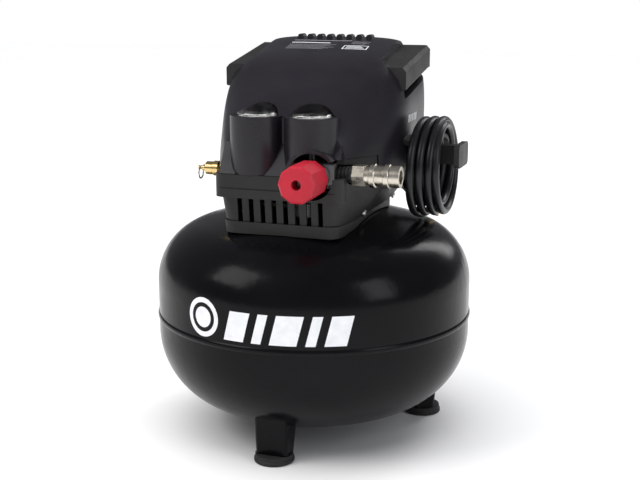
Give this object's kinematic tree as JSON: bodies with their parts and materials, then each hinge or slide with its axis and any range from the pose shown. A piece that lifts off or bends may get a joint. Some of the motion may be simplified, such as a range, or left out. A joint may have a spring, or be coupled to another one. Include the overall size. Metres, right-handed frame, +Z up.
{
  "type": "pancake air compressor",
  "caption": "Portable electric air compressor: low round tank on legs, vented shroud with carrying grips, gauges, regulator knob, quick coupler and a hung cord.",
  "frame": {"origin": "on the tank's axis, at the level of the floor under the rubber feet", "axes": "+Z up; front (gauges and knob) along -Y; air outlet and cord side along +X"},
  "size_m": [0.3076, 0.3074, 0.3815],
  "materials": {
    "tank_paint": "gloss black powder coat",
    "foot_rubber": "matt black moulded rubber",
    "isolator_rubber": "matt black rubber",
    "drain_brass": "turned brass",
    "drain_plastic": "moulded black plastic",
    "saddle_paint": "satin black paint",
    "zinc_steel": "zinc plated steel",
    "stator_steel": "laminated steel",
    "copper_wire": "varnished copper winding",
    "rotor_steel": "ground steel and cast bars",
    "shaft_steel": "ground steel",
    "motor_casting": "die cast",
    "cylinder_metal": "machined with cast fins",
    "fan_plastic": "moulded black plastic",
    "filter_plastic": "moulded black plastic",
    "tube_metal": "drawn tube",
    "valve_brass": "turned brass",
    "manifold_metal": "die cast, blasted",
    "knob_plastic": "satin red moulding",
    "gauge_steel": "black steel case",
    "dial_white": "printed white dial",
    "gauge_glass": "clear plastic window",
    "needle_paint": "black painted pointer",
    "ring_steel": "plated wire",
    "adapter_plastic": "ribbed black nut",
    "coupler_nickel": "nickel plated brass",
    "base_plastic": "matt dark grey moulding",
    "grip_plastic": "matt black textured grip",
    "hood_plastic": "satin black moulding",
    "switch_plastic": "moulded black plastic",
    "rocker_plastic": "red rocker",
    "cord_rubber": "black cord jacket",
    "blade_metal": "stamped brass"
  },
  "bodies": {
    "frame": {"tank_upper_shell": "tank_paint", "tank_lower_shell": "tank_paint", "tank_bungs": "tank_paint", "tank_legs": "tank_paint", "foot_pads": "foot_rubber", "isolators": "isolator_rubber", "drain_fitting": "drain_brass", "tank_saddle": "saddle_paint", "motor_plate": "saddle_paint", "mounting_bolts": "zinc_steel", "pump_bolts": "zinc_steel", "shroud_screws": "zinc_steel", "stator_core": "stator_steel", "stator_windings": "copper_wire", "motor_bearings": "shaft_steel", "front_bracket": "motor_casting", "crankcase": "motor_casting", "crankcase_cover": "motor_casting", "cylinder_head": "motor_casting", "cylinder": "cylinder_metal", "valve_plate": "cylinder_metal", "intake_filter": "filter_plastic", "discharge_tube": "tube_metal", "check_valve": "valve_brass", "safety_pipe": "valve_brass", "relief_valve_body": "valve_brass", "manifold": "manifold_metal", "manifold_riser": "manifold_metal", "regulator_body": "manifold_metal", "gauge_cases": "gauge_steel", "gauge_dials": "dial_white", "gauge_lenses": "gauge_glass", "coupler_adapter": "adapter_plastic", "coupler_body": "coupler_nickel", "shroud_base": "base_plastic", "cord_hanger": "base_plastic", "right_grip": "grip_plastic", "left_grip": "grip_plastic", "shroud_hood": "hood_plastic", "rear_cover": "hood_plastic", "pressure_switch": "switch_plastic", "cord_lead": "cord_rubber", "cord_coil": "cord_rubber", "cord_tail": "cord_rubber", "cord_strain_relief": "cord_rubber", "plug_body": "cord_rubber", "plug_blades": "blade_metal"},
    "rotor": {"rotor_core": "rotor_steel", "motor_shaft": "shaft_steel", "cooling_fan": "fan_plastic", "crank_disc": "shaft_steel"},
    "rod": {"connecting_rod": "motor_casting"},
    "knob": {"regulator_knob": "knob_plastic"},
    "tank_needle": {"tank_gauge_needle": "needle_paint"},
    "outlet_needle": {"outlet_gauge_needle": "needle_paint"},
    "relief_stem": {"relief_valve_stem": "valve_brass"},
    "relief_ring": {"relief_valve_ring": "ring_steel"},
    "sleeve": {"coupler_sleeve": "coupler_nickel"},
    "drain": {"drain_knob": "drain_plastic"},
    "rocker": {"switch_rocker": "rocker_plastic"}
  },
  "joints": [
    {"name": "motor_spin", "type": "hinge", "parent": "frame", "child": "rotor", "pos_m": [0, 0, 0.2815], "axis": [0, 1, 0], "continuous": true},
    {"name": "rod_pin", "type": "hinge", "parent": "rotor", "child": "rod", "pos_m": [0, 0.052, 0.2865], "axis": [0, 1, 0], "continuous": true},
    {"name": "regulator_turn", "type": "hinge", "parent": "frame", "child": "knob", "pos_m": [0.033, -0.106, 0.2645], "axis": [0, -1, 0], "range_deg": [0, 1350]},
    {"name": "tank_needle_turn", "type": "hinge", "parent": "frame", "child": "tank_needle", "pos_m": [-0.026, -0.08, 0.3146], "axis": [0, 0, -1], "range_deg": [0, 270], "stiffness_Nm_per_rad": 0.0001},
    {"name": "outlet_needle_turn", "type": "hinge", "parent": "frame", "child": "outlet_needle", "pos_m": [0.026, -0.08, 0.3146], "axis": [0, 0, -1], "range_deg": [0, 270], "stiffness_Nm_per_rad": 0.0001},
    {"name": "relief_pull", "type": "slide", "parent": "frame", "child": "relief_stem", "axis": [-1, 0, 0], "range_m": [0, 0.003], "stiffness_N_per_m": 3000, "springref_m": -0.0005},
    {"name": "relief_ring_swing", "type": "hinge", "parent": "relief_stem", "child": "relief_ring", "pos_m": [-0.104, -0.035, 0.257], "axis": [0, 1, 0], "range_deg": [-10, 100]},
    {"name": "sleeve_slide", "type": "slide", "parent": "frame", "child": "sleeve", "axis": [-1, 0, 0], "range_m": [0, 0.004], "stiffness_N_per_m": 1500, "springref_m": -0.0005},
    {"name": "drain_turn", "type": "hinge", "parent": "frame", "child": "drain", "pos_m": [0, 0.13901, 0.03949], "axis": [0, 0.7071, -0.7071], "range_deg": [0, 540]},
    {"name": "rocker_tilt", "type": "hinge", "parent": "frame", "child": "rocker", "pos_m": [-0.037, 0.104, 0.275], "axis": [-1, 0, 0], "range_deg": [0, 18]}
  ],
  "couplings": [
    {"joint": "rod_pin", "follows": "motor_spin", "ratio": -1}
  ]
}
